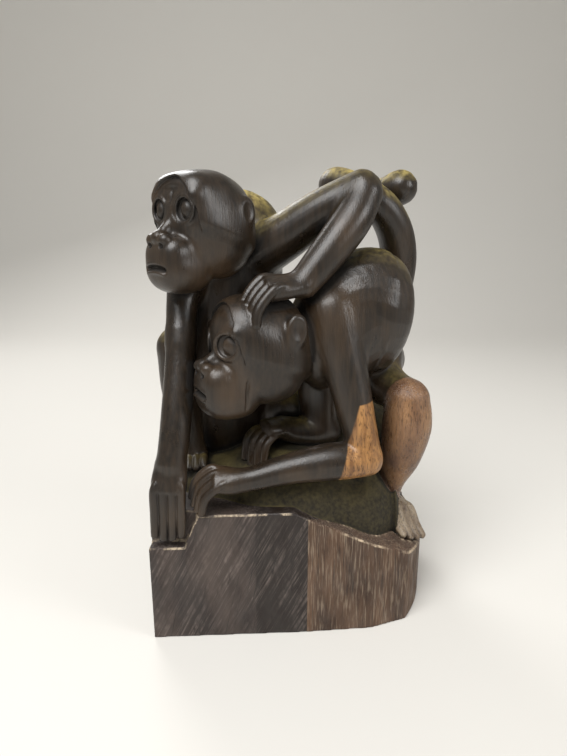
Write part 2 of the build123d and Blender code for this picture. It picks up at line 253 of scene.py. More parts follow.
# %% Lines of the limbs
limb_rows = {
    "upper_left_upper_arm": (
        (-16, 68, 234, 17), (0, 61, 243, 15), (22, 54, 258, 13), (46, 48, 270.5, 11.5),
    ),
    "upper_left_forearm": (
        (47, 45, 267, 10.4), (40, 38.5, 254, 11.6), (28, 31.5, 238, 11), (12, 24, 219, 9),
    ),
    "upper_right_upper_arm": (
        (-52, 68, 228, 15), (-59, 53, 216, 12.5), (-61.5, 42, 203, 9.6), (-61.8, 34, 183, 8.7),
    ),
    "upper_right_forearm": (
        (-61.8, 35, 187, 8.5), (-62.6, 26, 161, 9.1), (-64.4, 16, 133, 9.2), (-66.5, 10, 115, 8.7),
    ),
    "upper_right_thigh": ((-50, 90, 118, 17), (-60, 74, 150, 16), (-67.5, 59, 174, 13.5)),
    "upper_right_shin": (
        (-68, 57, 174, 13), (-67.5, 55, 150, 12.6), (-65, 54, 127, 10.5), (-62, 55, 108, 9),
    ),
    "upper_left_thigh": ((-20, 92, 108, 17), (-8, 80, 120, 16), (4, 69, 130, 14)),
    "upper_tail": ((-36, 106, 104, 8), (-22, 117, 97, 7), (0, 118, 92, 6.2), (14, 115, 90, 5.5)),
    "lower_left_upper_arm": (
        (28, 36, 200, 17), (33, 31, 182, 15), (40, 26, 156, 12.3), (46, 21, 131, 10.5),
        (50, 18, 115, 9.4),
    ),
    "lower_left_forearm": (
        (51, 18, 112, 9), (40, 16, 113, 11), (26, 14, 113, 11.2), (2, 10, 110, 9),
        (-17, 8, 105.5, 7.4), (-29, 6, 104, 7),
    ),
    "lower_right_upper_arm": (
        (27, 60, 192, 16), (25, 60, 168, 14.5), (23, 59, 144, 13.5), (25, 58, 124, 11.5),
    ),
    "lower_right_forearm": (
        (30, 57, 118, 9), (20, 54, 118, 9.8), (8, 50, 120, 8.8), (-1, 47, 123, 7.6),
    ),
    "lower_left_thigh": ((60, 72, 157, 20), (68, 60, 149, 14.5), (77, 47, 145, 11.5)),
    "lower_right_thigh": ((64, 80, 163, 18), (70, 92, 157, 16.5), (73, 98, 148, 12.5)),
    "lower_left_shin": (
        (79, 42, 143, 14), (79, 42, 126, 15.8), (77, 45, 105, 13.2), (73, 50, 87, 9.6),
        (71, 54, 74, 8.4),
    ),
    "lower_right_shin": (
        (74, 100, 143, 13), (74, 100, 128, 14.3), (72, 98, 106, 12), (70, 95, 88, 8.8),
        (69, 93, 74, 7.8),
    ),
    "lower_tail": (
        (69, 72, 165, 9), (73, 82, 185, 10.5), (75.5, 86, 208, 11.5), (77, 86, 228, 12),
        (73, 82, 246, 11.8), (63, 77, 261, 11.2), (50, 76, 269, 11),
    ),
    "lower_tail_curl": (
        (50, 76, 269, 11), (40, 81, 274, 11), (34, 90, 276, 11), (38, 101, 273, 11),
        (52, 108, 269, 11), (67, 108, 270, 11), (79, 102, 275, 11.6),
    ),
}
skins = {name: [sweep(rows)] for name, rows in limb_rows.items()}
print("limbs swept:", len(skins))

# %% [markdown]
# ## Bodies
#
# A body is the same kind of bar with an oval section. The seated monkey's back is wider than deep; the
# crouching one's is higher than deep.

# %% Sweep the bodies
upper_torso_rows = (
    (-37, 86, 96, 28), (-39, 82, 125, 34), (-40, 78, 165, 38), (-37, 77, 207, 37),
    (-30, 80, 243, 30),
)
lower_torso_rows = (
    (16, 43, 172, 25), (25, 44, 179, 30), (36, 47, 190, 35), (44, 51, 196, 38.5),
    (51, 54, 197, 40.5), (57.5, 56.5, 196, 39.5),
)
front_to_back = (0.0, 1.0, 0.0)
skins["upper_torso"] = [sweep(upper_torso_rows, flatness=0.78, flat_side=front_to_back)]
skins["lower_torso"] = [
    sweep(lower_torso_rows, flatness=0.76, flat_side=front_to_back, end_share=0.55)
]
for name in ("upper_torso", "lower_torso"):
    size = np.ptp(skins[name][0].points, axis=0)
    print(name, "size, mm:", size.round(1))

# %% [markdown]
# ## Hands and feet
#
# A hand is a flat oval palm with a row of four fingers that start inside it, so that the grooves between
# them fade out over the knuckles as they do under a carver's gouge.

# %% Sweep palms, fingers and toes
Paw = namedtuple("Paw", "wrist knuckle bend tip across wrist_half palm_half thickness finger_half")
paws = {
    "upper_right_hand": Paw(
        wrist=(-66.7, 9.5, 114), knuckle=(-68, 4.5, 99), bend=(-68.5, 1.8, 85), tip=(-69, 1.0, 70),
        across=(1, 0, 0), wrist_half=8.6, palm_half=10.6, thickness=6.2, finger_half=2.75,
    ),
    "upper_left_hand": Paw(
        wrist=(11, 23, 218), knuckle=(-9, 15, 216), bend=(-17, 10.5, 209), tip=(-19, 8.5, 199),
        across=(0.5, -0.75, -0.3), wrist_half=8.6, palm_half=10.0, thickness=6.4, finger_half=2.9,
    ),
    "lower_left_hand": Paw(
        wrist=(-28, 6.5, 104.5), knuckle=(-40, 6, 105.5), bend=(-48.5, 4.0, 100), tip=(-52, 2.5, 89),
        across=(0.5, -0.7, -0.5), wrist_half=7.0, palm_half=9.0, thickness=5.4, finger_half=2.7,
    ),
    "lower_right_hand": Paw(
        wrist=(0, 47, 123), knuckle=(-11, 41, 124.5), bend=(-17, 36, 117), tip=(-19, 33, 104),
        across=(0.85, -0.5, -0.1), wrist_half=7.4, palm_half=9.6, thickness=5.6, finger_half=2.7,
    ),
    "upper_right_foot": Paw(
        wrist=(-62, 64, 101), knuckle=(-60.5, 52, 103), bend=(-60, 46, 101), tip=(-59.5, 41, 97),
        across=(1, 0.1, 0), wrist_half=8.0, palm_half=9.5, thickness=6.0, finger_half=2.6,
    ),
    "lower_left_foot": Paw(
        wrist=(72, 57, 68), knuckle=(78, 48, 62.5), bend=(82.5, 42, 56.5), tip=(86.5, 36, 50),
        across=(0.85, 0.45, -0.28), wrist_half=8.6, palm_half=11.6, thickness=6.8, finger_half=3.1,
    ),
    "lower_right_foot": Paw(
        wrist=(68, 90, 66), knuckle=(75, 97, 63), bend=(80, 101, 57.5), tip=(85, 105, 52),
        across=(0.6, -0.75, -0.3), wrist_half=8.0, palm_half=10.6, thickness=6.6, finger_half=2.9,
    ),
}
finger_count = 4
finger_spread_share = 0.74
finger_root_share = 0.6
finger_length_shares = (0.88, 1.0, 1.0, 0.86)
finger_half_shares = (0.8, 1.0, 1.0, 0.86)
finger_lift_share = 0.85
finger_step = 0.8
palm_end_share = 0.3
palm_step = 1.0


def sweep_paw(paw):
    wrist, knuckle, bend, tip = [
        np.array(place, float) for place in (paw.wrist, paw.knuckle, paw.bend, paw.tip)
    ]
    across = np.array(paw.across, float)
    across /= np.linalg.norm(across)
    outward = np.cross(knuckle - wrist, across)
    outward *= (1.0 if outward[1] < 0 else -1.0) / np.linalg.norm(outward)
    middle = (wrist + knuckle) / 2
    palm_rows = [(*wrist, paw.wrist_half), (*middle, paw.palm_half), (*knuckle, paw.palm_half)]
    flatness = paw.thickness / paw.palm_half
    parts = [sweep(palm_rows, palm_step, flatness, tuple(outward), palm_end_share)]
    half = paw.finger_half
    lift = outward * (paw.thickness - half) * finger_lift_share
    for i in range(finger_count):
        aside = across * (i - (finger_count - 1) / 2) * 2 * paw.palm_half / finger_count
        root = wrist + (knuckle - wrist) * finger_root_share + aside * finger_spread_share + lift
        end = bend + (tip - bend) * finger_length_shares[i] + aside
        places = (root, knuckle + aside + lift, bend + aside, end)
        rows = [(*place, half * size) for place, size in zip(places, finger_half_shares)]
        parts.append(sweep(rows, finger_step))
    return parts


for name, paw in paws.items():
    skins[name] = sweep_paw(paw)
print("hands and feet swept:", len(paws))

# %% [markdown]
# ## The block
#
# The base and the ground already have their sawn shape in the frame, so their own meshes are used. The wood
# under the crouching monkey, dark in the picture, was never cut away: it stays as a core on the ground. The
# right wall of the ledge under the long hand leans, so a wedge is left standing in the sawn corner.

# %% Take the block from the frame
block_names = ("base_heartwood", "base_sapwood", "carved_ground")
core_rows = ((26, 80, 100, 24), (46, 82, 107, 27), (60, 82, 104, 24))


def frame_skin(name):
    skin = triangles_of(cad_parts[name].data)
    return Skin((skin.points / mm - shift).astype(np.float32), skin.triangles)


for name in block_names:
    skins[name] = [frame_skin(name)]
skins["carved_ground"].append(sweep(core_rows))
print("block pieces:", len(block_names))

# %% [markdown]
# The wedge is a prism with four corners in front and four behind. Its front follows the sawn front, which
# runs back by 5.04 mm over 95.9 mm, and its top stays just under the block's, so that neither shows a step.

# %% Leave the wedge in the sawn corner
front_slope = 5.04 / 95.9
wedge_depth = 9.0
wedge_height = 24.0
wedge_foot_x = -61.0
wedge_crest_x = -51.0
wedge_right_x = -38.0
base_top = base_high.z / mm - 0.3
wedge_low = base_top - wedge_height
wedge_outline = (
    (wedge_foot_x, wedge_low), (wedge_right_x, wedge_low),
    (wedge_right_x, base_top), (wedge_crest_x, base_top),
)
wedge_points = [
    (x, back + (x - front_left_x) * front_slope, z)
    for back in (0.0, wedge_depth) for x, z in wedge_outline
]
wedge_triangles = [
    (0, 1, 2), (0, 2, 3), (4, 6, 5), (4, 7, 6), (0, 4, 1), (1, 4, 5),
    (1, 5, 2), (2, 5, 6), (2, 6, 3), (3, 6, 7), (3, 7, 0), (0, 7, 4),
]
wedge = Skin(np.array(wedge_points, np.float32), np.array(wedge_triangles, np.uint32))
skins["base_heartwood"].append(wedge)
print("triangles of the wedge:", len(wedge.triangles))

# %% [markdown]
# ## Distance grids
#
# Every form is turned into a box of distances: negative in the wood, zero on the skin, positive in the air.
# Forms then join by arithmetic. A soft minimum (the logarithm of added exponentials) rounds the crease
# between two forms of one figure, as sanding does, and it gives the same result in any order.

# %% Tools for distance grids
Grid = namedtuple("Grid", "low shape voxel")
band = 6.0
least_pull = 1e-12


def make_grid(low, high, voxel):
    low, high = np.asarray(low, float), np.asarray(high, float)
    return Grid(low, tuple(np.ceil((high - low) / voxel).astype(int) + 1), voxel)


def grid_axes(grid):
    return [grid.low[i] + grid.voxel * np.arange(grid.shape[i]) for i in range(3)]


def skin_distance(skin, grid):
    """Signed distance to a closed skin at each point of the grid, cut off at the band."""
    scale = vdb.createLinearTransform(voxelSize=grid.voxel)
    points = (skin.points - grid.low).astype(np.float32)
    level_set = vdb.FloatGrid.createLevelSetFromPolygons(
        points, triangles=skin.triangles, transform=scale, halfWidth=band / grid.voxel
    )
    distances = np.full(grid.shape, band, np.float32)
    level_set.copyToArray(distances)
    return distances


def pull(distances, softness):
    """A form's pull on the skin, which fades to nothing at the edge of the band."""
    return np.maximum(np.exp(-distances / softness) - math.exp(-band / softness), 0.0)


def settle(total_pull, softness):
    return np.minimum(-softness * np.log(np.maximum(total_pull, least_pull)), band)


def soft_min(first, second, reach):
    """The lower of two distances, with the crease between them rounded over the reach."""
    overlap = np.maximum(reach - np.abs(first - second), 0.0) / reach
    return np.minimum(first, second) - overlap * overlap * reach / 4


def soft_max(first, second, reach):
    return -soft_min(-first, -second, reach)


def blend_step(value, start, end):
    """0 below start, 1 above end and a smooth step between."""
    share = np.clip((value - start) / (end - start), 0.0, 1.0)
    return share * share * (3 - 2 * share)


# %% [markdown]
# ## Heads
#
# The heads are the skill of this carving, so they get the finest grid and are modelled straight in
# distances: eggs for skull, cheeks and muzzle, then the cuts. Forward, left and up are measured from the
# middle of each head. The face is sunk below a hood of hair whose edge is left as a crisp step.

# %% Shapes for the heads
def egg(place, centre, halves, power=2.0):
    """Distance to an oval, close enough near its skin; a higher power squares it."""
    parts = [np.abs(place[i] - centre[i]) / halves[i] for i in range(3)]
    size = np.maximum(sum(part ** power for part in parts), 1e-9) ** (1.0 / power)
    slope = np.sqrt(sum(((parts[i] / size) ** (power - 1) / halves[i]) ** 2 for i in range(3)))
    return (size - 1.0) / slope


def rod(place, start, end, start_half, end_half):
    """Distance to a bar whose thickness changes evenly from start to end."""
    start, along = np.array(start, float), np.array(end, float) - np.array(start, float)
    away = [place[i] - start[i] for i in range(3)]
    share = np.clip(sum(away[i] * along[i] for i in range(3)) / (along @ along), 0.0, 1.0)
    gap = np.sqrt(sum((away[i] - share * along[i]) ** 2 for i in range(3)))
    return gap - start_half - (end_half - start_half) * share


def ring(place, centre, half_across, half_up, wire_half):
    """Distance to an upright oval ring that looks forward."""
    across, up = (place[1] - centre[1]) / half_across, (place[2] - centre[2]) / half_up
    round_place = np.sqrt(across ** 2 + up ** 2)
    beside = (round_place - 1.0) * min(half_across, half_up)
    return np.sqrt(beside ** 2 + (place[0] - centre[0]) ** 2) - wire_half


Head = namedtuple(
    "Head",
    "centre facing size forehead squareness scoop "
    "eye_front eye_up eye_turn nose_up mouth_up crease ear",
)
heads = {
    "upper_head": Head(
        centre=(-46.0, 39.0, 247.0), facing=(-0.67, -0.742), size=0.91,
        forehead=25.5, squareness=3.6, scoop=3.0, eye_front=25.0, eye_up=12.5, eye_turn=0.1,
        nose_up=-4.6, mouth_up=-21.0, crease=0.0, ear=(-13.0, 25.0, 11.0),
    ),
    "lower_head": Head(
        centre=(-15.0, 28.0, 177.0), facing=(-0.88, -0.475), size=0.97,
        forehead=29.0, squareness=2.0, scoop=0.0, eye_front=25.4, eye_up=8.5, eye_turn=0.6,
        nose_up=-5.0, mouth_up=-19.5, crease=1.3, ear=(-12.5, 26.5, 17.0),
    ),
}


def head_axes(head):
    """Forward, left and up of a head as rows."""
    flat = np.array([head.facing[0], head.facing[1], 0.0])
    flat /= np.linalg.norm(flat)
    up = np.array([0.0, 0.0, 1.0])
    return flat, np.cross(up, flat), up


def head_place(head, grid):
    """Forward, left and up of each point of the grid."""
    x, y, z = grid_axes(grid)
    away = [
        (x - head.centre[0])[:, None, None],
        (y - head.centre[1])[None, :, None],
        (z - head.centre[2])[None, None, :],
    ]
    return [
        (sum(away[i] * axis[i] for i in range(3)) / head.size).astype(np.float32)
        for axis in head_axes(head)
    ]


# %% [markdown]
# Both heads share one face. It has a scooped forehead under the edge of the hood, two oval eyes in ringed
# sockets, a short bridge to a broad flat nose, a square muzzle and parted lips. The skull comes first, from
# ovals that flow together. The hair is the same skin, pushed out past an oval edge.

# %% Carve the skull
hood_half_width = 21.5
hood_half_height = 27.0
hood_up = 5.0
hood_reach = 24.0
hair_height = 2.4


def carve_skull(head, place, mirrored):
    """Skull, jaws and muzzle, with the hair standing over the face along an oval edge."""
    forward, aside, up = mirrored
    skull = egg(place, (-4, 0, 4), (29, 26, 30))
    jaws = egg(mirrored, (-3, 10, -12), (21, 15, 17.5))
    face = egg(place, (10, 0, 2), (17.5, 22.5, 29))
    forehead = egg(place, (head.forehead - 17, 0, 14), (17, 22, 19), head.squareness)
    muzzle = egg(place, (22, 0, -18), (18, 17, 16.5), 3.0)
    chin = egg(place, (19.5, 0, -25), (17.5, 16.5, 13), 2.4)
    form = soft_min(soft_min(skull, jaws, 10.0), soft_min(face, forehead, 6.0), 6.0)
    form = soft_min(form, soft_min(muzzle, chin, 5.0), 3.5)
    round_face = np.hypot(aside / hood_half_width, (up - hood_up) / hood_half_height)
    past_edge = (round_face - 1.0) * hood_reach
    above_jaw = blend_step(up - 0.35 * (forward - 20.0), -4.0, 6.0)
    hair = blend_step(past_edge, -0.7, 0.7) * above_jaw
    form = form - hair_height * hair
    scoop = egg(mirrored, (head.forehead + 12.5 - head.scoop, 0, 23), (12.5, 21, 9.0))
    return soft_max(form, -scoop, 1.2)


# %% [markdown]
# An eye is made in four steps: a brow laid over it, a socket scooped under the brow, a thin rim and an oval
# ball. The crouching head's eyes turn further round its sides than the seated one's.

# %% Carve the eyes
eye_aside = 12.0


def carve_eyes(head, form, mirrored):
    """Brows over deep sockets, with an oval eyeball and a thin rim in each."""
    front, brow_up = head.eye_front, head.eye_up + 8.0
    brow = rod(mirrored, (front - 3.0, 3.0, brow_up), (front - 3.2, 17.5, brow_up), 2.6, 3.0)
    form = soft_min(form, brow, 4.0)
    turned = [mirrored[0] + head.eye_turn * (mirrored[1] - eye_aside), mirrored[1], mirrored[2]]
    socket = egg(turned, (front + 5.0, eye_aside - 0.8, head.eye_up + 0.6), (8.8, 8.0, 8.8))
    form = soft_max(form, -socket, 1.4)
    rim = ring(turned, (front + 0.2, eye_aside, head.eye_up), 7.2, 7.8, 1.1)
    form = soft_min(form, rim, 1.0)
    ball = egg(turned, (front - 4.2, eye_aside + 0.4, head.eye_up), (5.4, 5.2, 6.4))
    return soft_min(form, ball, 0.5)


# %% [markdown]
# The nose is broad and flat: three ovals at the end of a short bridge, with two nostrils cut from below. The
# lips follow one curved line, with a groove along it and a low ridge above and below.

# %% Carve the nose and the mouth
mouth_curve = 0.016
mouth_gap_depth = 3.0
upper_lip_height = 0.6
lower_lip_height = 1.2


def carve_nose(head, form, place, mirrored):
    """A short bridge to a broad nose that stays behind the front of the muzzle."""
    bridge = rod(place, (25, 0, head.eye_up - 5.0), (34, 0, head.nose_up + 2.0), 2.8, 3.8)
    form = soft_min(form, bridge, 3.5)
    tip = egg(place, (36.2, 0, head.nose_up + 1.0), (4.0, 4.6, 4.2))
    wing = egg(mirrored, (35.6, 5.6, head.nose_up - 0.4), (4.2, 4.4, 4.2))
    form = soft_min(form, soft_min(tip, wing, 1.4), 1.8)
    nostril = egg(mirrored, (39.6, 5.4, head.nose_up - 3.6), (3.0, 2.1, 1.7))
    return soft_max(form, -nostril, 0.6)


def carve_mouth(head, form, mirrored):
    """Parted lips round the front of the muzzle, and the crease behind it."""
    forward, aside, up = mirrored
    from_line = up - head.mouth_up + mouth_curve * aside ** 2
    front = blend_step(forward, 24.0, 28.0) * blend_step(-aside, -10.5, -7.0)
    gap = mouth_gap_depth * np.exp(-((from_line / 1.3) ** 2))
    upper_lip = upper_lip_height * np.exp(-(((from_line - 2.9) / 1.3) ** 2))
    lower_lip = lower_lip_height * np.exp(-(((from_line + 2.7) / 1.1) ** 2))
    beside = blend_step(aside, 9.0, 13.0) * blend_step(up, -31.0, -26.0) * blend_step(-up, 8.0, 14.0)
    crease = head.crease * np.exp(-(((forward - 16.0) / 0.9) ** 2)) * beside
    return form + (gap - upper_lip - lower_lip) * front + crease


# %% [markdown]
# The steps follow each other as under the knife, and the head's own size is put in last. Both sides are
# carved at once, because places are mirrored at the middle of the face.

# %% Carve a whole head
def head_distance(head, grid):
    place = head_place(head, grid)
    mirrored = [place[0], np.abs(place[1]), place[2]]
    form = carve_skull(head, place, mirrored)
    form = carve_eyes(head, form, mirrored)
    form = carve_nose(head, form, place, mirrored)
    form = carve_mouth(head, form, mirrored)
    return form * head.size


print("heads to carve:", {name: head.size for name, head in heads.items()})

# %% [markdown]
# An ear is a low oval disc with a hollow, cut close to the head.

# %% Carve an ear
def ear_distance(head, side, grid):
    place = head_place(head, grid)
    place = [place[0], place[1] * side, place[2]]
    back, aside, up = head.ear
    disc = egg(place, (back, aside, up), (6.8, 3.6, 9.6))
    hollow = egg(place, (back + 1.4, aside + 3.8, up + 0.6), (4.8, 2.4, 7.2))
    return soft_max(disc, -hollow, 1.2) * head.size


# %% [markdown]
# ## Every form in one list
#
# Three groups touch each other without flowing together: the seated monkey, the crouching one and the
# block. A form's distances are only worked out where its own box, with a margin, meets the box that asks
# for them.

# %% List the forms
Form = namedtuple("Form", "low high distance")
finger_softness = 0.25
head_reach = np.array([46.0, 46.0, 41.0])
ear_reach = 11.0


def group_of(name):
    return name.split("_")[0] if name.startswith(("upper", "lower")) else "block"


def skin_form(name, grid):
    """Distance to all the skins of one form: sharp joins in the block, eased ones between fingers."""
    distances = [skin_distance(part, grid) for part in skins[name]]
    if group_of(name) == "block" or len(distances) == 1:
        return np.minimum.reduce(distances)
    return settle(sum(pull(part, finger_softness) for part in distances), finger_softness)


forms = {}
for name, parts in skins.items():
    points = np.concatenate([part.points for part in parts])
    forms[name] = Form(points.min(0), points.max(0), lambda grid, name=name: skin_form(name, grid))
for name, head in heads.items():
    centre = np.array(head.centre)
    forms[name] = Form(
        centre - head_reach, centre + head_reach, lambda grid, head=head: head_distance(head, grid)
    )
    forward, left, up = head_axes(head)
    back, aside, rise = head.ear
    for word, side in (("left", 1.0), ("right", -1.0)):
        middle = centre + head.size * (forward * back + left * side * aside + up * rise)
        forms[name.replace("head", word + "_ear")] = Form(
            middle - ear_reach, middle + ear_reach,
            lambda grid, head=head, side=side: ear_distance(head, side, grid),
        )
missing = set(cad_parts) ^ set(forms)
print("forms:", len(forms), "without a node or form:", sorted(missing))


# %% [markdown]
# ## From distances to pieces
#
# The skin of the whole carving is shared by all pieces. Each piece keeps that skin where its own form is
# the nearest, and past that border it dives under its neighbour and closes. So the pieces show no seam
# between them, and each is still a closed solid of its own.

# %% Join the forms round one piece
softness_of = {"upper": 1.5, "lower": 1.5, "block": 0.25}
group_crease = 0.8


def shared_box(form, grid):
    """The slices of the grid that a form and its band reach, and the grid of that part."""
    start = np.maximum(np.floor((form.low - band - grid.low) / grid.voxel), 0).astype(int)
    stop = np.minimum(np.ceil((form.high + band - grid.low) / grid.voxel) + 1, grid.shape).astype(int)
    if (start >= stop).any():
        return None, None
    part = Grid(grid.low + start * grid.voxel, tuple(stop - start), grid.voxel)
    return tuple(slice(a, b) for a, b in zip(start, stop)), part


def carving_round(name, grid):
    """Distance to the whole carving's skin, and how far each point is past the border of one form."""
    pulls = {}
    own, others = np.full(grid.shape, band, np.float32), np.full(grid.shape, band, np.float32)
    for other, form in forms.items():
        box, part = shared_box(form, grid)
        if box is None:
            continue
        distances = np.clip(form.distance(part), -band, band).astype(np.float32)
        group = pulls.setdefault(group_of(other), np.zeros(grid.shape, np.float32))
        group[box] += pull(distances, softness_of[group_of(other)])
        nearest = own if other == name else others
        nearest[box] = np.minimum(nearest[box], distances)
    skin = None
    for group in sorted(pulls):
        settled = settle(pulls[group], softness_of[group])
        skin = settled if skin is None else soft_min(skin, settled, group_crease)
    below_table = -grid_axes(grid)[2].astype(np.float32)
    return np.maximum(skin, below_table), own - others


# %% [markdown]
# The grid's zero surface becomes the mesh. Smooth normals come from the shared skin, so light runs on over
# the borders. Two marks are kept as attributes for the finishes: how hollow the skin is at each point, where
# the finishes paint shade, and how much it faces up, where dust settles.

# %% Make a mesh from a grid
border_ease = 1.6
mark_reach = 5.0


def sample(values, grid, points):
    """Values of the grid at any points, from the eight round each."""
    place = np.clip((points - grid.low) / grid.voxel, 0, np.array(grid.shape) - 1.001)
    corner = place.astype(int)
    share = place - corner
    total = 0.0
    for step in np.ndindex(2, 2, 2):
        weight = np.prod(np.where(step, share, 1 - share), axis=1)
        total = total + weight * values[tuple((corner + step).T)]
    return total


def skin_normals(skin, grid, points):
    reach = grid.voxel
    slopes = []
    for axis in np.eye(3) * reach:
        slopes.append(sample(skin, grid, points + axis) - sample(skin, grid, points - axis))
    slopes = np.stack(slopes, axis=1)
    return slopes / np.maximum(np.linalg.norm(slopes, axis=1, keepdims=True), 1e-9)


def piece_mesh(name, grid):
    """Points, quads, normals and marks of one piece, closed in itself."""
    skin, past = carving_round(name, grid)
    past = np.maximum(past, 0.0)
    closed = skin + past * past / (past + border_ease)
    outside = 3 * grid.voxel
    closed = np.clip(closed, -outside, outside).astype(np.float32)
    for axis in range(3):
        for side in (0, -1):
            edge = [slice(None)] * 3
            edge[axis] = side
            closed[tuple(edge)] = outside
    volume = vdb.FloatGrid(outside)
    volume.copyFromArray(closed)
    places, quads = volume.convertToQuads()
    points = places * grid.voxel + grid.low
    normals = skin_normals(skin, grid, points)
    marks = {
        "hollow": 1.0 - sample(skin, grid, points + normals * mark_reach) / mark_reach,
        "upward": normals[:, 2],
    }
    marks = {mark: np.clip(values, 0.0, 1.0) for mark, values in marks.items()}
    return points, quads, normals, marks


def make_piece(name, points, quads, normals, marks):
    mesh = bpy.data.meshes.new(name)
    mesh.from_pydata(((points + shift) * mm).tolist(), [], quads.tolist())
    mesh.shade_smooth()
    for mark, values in marks.items():
        kept = mesh.attributes.new(mark, "FLOAT", "POINT")
        kept.data.foreach_set("value", values.astype(np.float32))
    mesh.normals_split_custom_set_from_vertices(normals.tolist())
    piece = bpy.data.objects.new("carved_" + name, mesh)
    bpy.context.scene.collection.objects.link(piece)
    return piece


# %% [markdown]
# Faces, fingers and toes need a fine grid, and plain limbs do with a coarser one.

# %% Make all the pieces
head_voxel = 0.6
paw_voxel = 0.6
limb_voxel = 0.9
block_voxel = 1.1
margin = 4.0


def voxel_of(name):
    if name.endswith(("head", "ear")):
        return head_voxel
    if name.endswith(("hand", "foot")):
        return paw_voxel
    return block_voxel if group_of(name) == "block" else limb_voxel


def carve(name):
    form = forms[name]
    return piece_mesh(name, make_grid(form.low - margin, form.high + margin, voxel_of(name)))


with ThreadPoolExecutor(4) as pool:
    carved = dict(zip(forms, pool.map(carve, forms)))
pieces = {name: make_piece(name, *parts) for name, parts in carved.items()}
for name, piece in pieces.items():
    print(name, "quads:", len(piece.data.polygons))

# %% [markdown]
# ## Finishes
#
# Colours are written as the usual hex values and turned to linear light by one function. The size of a
# pattern is written in millimetres, and another function turns it into the scale that a texture takes.

# %% Colours and pattern sizes
def colour(code):
    """Linear colour with full alpha from a hex value."""
    channels = [int(code[i:i + 2], 16) / 255 for i in (1, 3, 5)]
    linear = [c / 12.92 if c <= 0.04045 else ((c + 0.055) / 1.055) ** 2.4 for c in channels]
    return (*linear, 1.0)


def per_metre(size):
    """Scale of a pattern whose repeat is this many millimetres."""
    return 1.0 / (size * mm)


print("scale of a pattern 2 mm wide:", per_metre(2.0))

# %% [markdown]
# A finish is steered by shares: values from 0 to 1 that say where something shows. Grain is noise drawn out
# along the wood, a mark is one of the two kept in the mesh, and a place is measured along a direction. All
# of them stay fixed to the wood, because they read the object's own coordinates.

# %% Shares that steer the finishes
def grain(tree, across, along, start, end, high=1.0, lean=0.0):
    """Noise drawn out along the grain, from 0 below start to high above end; sizes in millimetres."""
    place = add_node(tree, "ShaderNodeTexCoord").outputs["Object"]
    turn = (0.0, math.radians(lean), 0.0)
    turned = add_node(tree, "ShaderNodeMapping", {"Vector": place, "Rotation": turn}).outputs[0]
    scale = (per_metre(across), per_metre(across), per_metre(along))
    stretched = add_node(tree, "ShaderNodeMapping", {"Vector": turned, "Scale": scale}).outputs[0]
    noise = add_node(
        tree, "ShaderNodeTexNoise", {"Vector": stretched, "Scale": 1.0, "Detail": 4.0}
    ).outputs["Fac"]
    return add_node(
        tree, "ShaderNodeMapRange",
        {"Value": noise, "From Min": start, "From Max": end, "To Max": high},
    ).outputs[0]


def marked(tree, mark, start, end, high=1.0):
    """One of the kept marks, from 0 at start to high at end."""
    value = add_node(tree, "ShaderNodeAttribute", attribute_name=mark).outputs["Fac"]
    return add_node(
        tree, "ShaderNodeMapRange",
        {"Value": value, "From Min": start, "From Max": end, "To Max": high},
    ).outputs[0]


def beyond(tree, direction, start, end):
    """0 to 1 along a direction, between two places on it in millimetres."""
    place = add_node(tree, "ShaderNodeTexCoord").outputs["Object"]
    reach = add_node(
        tree, "ShaderNodeVectorMath", {0: place, 1: direction}, operation="DOT_PRODUCT"
    ).outputs["Value"]
    from_shift = float(shift @ np.array(direction))
    return add_node(
        tree, "ShaderNodeMapRange",
        {"Value": reach, "From Min": (start + from_shift) * mm, "From Max": (end + from_shift) * mm},
    ).outputs[0]


def where_all(tree, share, *others):
    """What is left of a share where others have to hold as well."""
    for other in others:
        share = add_node(tree, "ShaderNodeMath", {0: share, 1: other}, operation="MULTIPLY").outputs[0]
    return share


def chipped_rim(tree):
    """The top rim of the block, where it turns from upright to level, in broken stretches."""
    return where_all(
        tree, marked(tree, "upward", 0.08, 0.25), marked(tree, "upward", 0.9, 0.7),
        grain(tree, 11.0, 11.0, 0.44, 0.56), grain(tree, 1.8, 1.8, 0.3, 0.6),
    )


# %% [markdown]
# A finish is then laid on in the order in which the wood got it: its ground colour, the coats over it, and
# last the roughness and the fine relief, in one Principled shader.

# %% Steps that lay a finish
wood_ior = 1.5
relief_strength = 0.6


def new_material(name):
    material = bpy.data.materials.new(name)
    material.use_nodes = True
    material.node_tree.nodes.clear()
    return material, material.node_tree


def layered(tree, paint, *coats):
    """A ground colour with coats over it in turn, each a colour and the share that it takes."""
    for over, share in coats:
        below, above = [colour(c) if isinstance(c, str) else c for c in (paint, over)]
        mixed = add_node(tree, "ShaderNodeMix", {0: share, 6: below, 7: above}, data_type="RGBA")
        paint = mixed.outputs[2]
    return paint


def close_material(tree, paint, roughness, height, depth):
    """Shader and output of a finish; the relief is this many millimetres deep."""
    bump = add_node(
        tree, "ShaderNodeBump",
        {"Height": height, "Strength": relief_strength, "Distance": depth * mm},
    )
    shader = add_node(
        tree, "ShaderNodeBsdfPrincipled",
        {"Base Color": paint, "Roughness": roughness, "Normal": bump.outputs[0], "IOR": wood_ior},
    )
    add_node(tree, "ShaderNodeOutputMaterial", {"Surface": shader.outputs[0]})


# %% [markdown]
# Ebony heartwood, carved, sanded and waxed: near black with brown streaks along the grain, which runs up
# the block. The wax gives a soft shine, worn unevenly, and years on a shelf left yellow dust on the backs.
# The hollows are painted near black as shade and made duller. At the near elbow the cut reaches the pale
# sapwood. Its pores are drawn 0.7 mm wide, coarser than real ones, so that they show.

# %% Ebony finish
dust_colour = "#b3a05c"


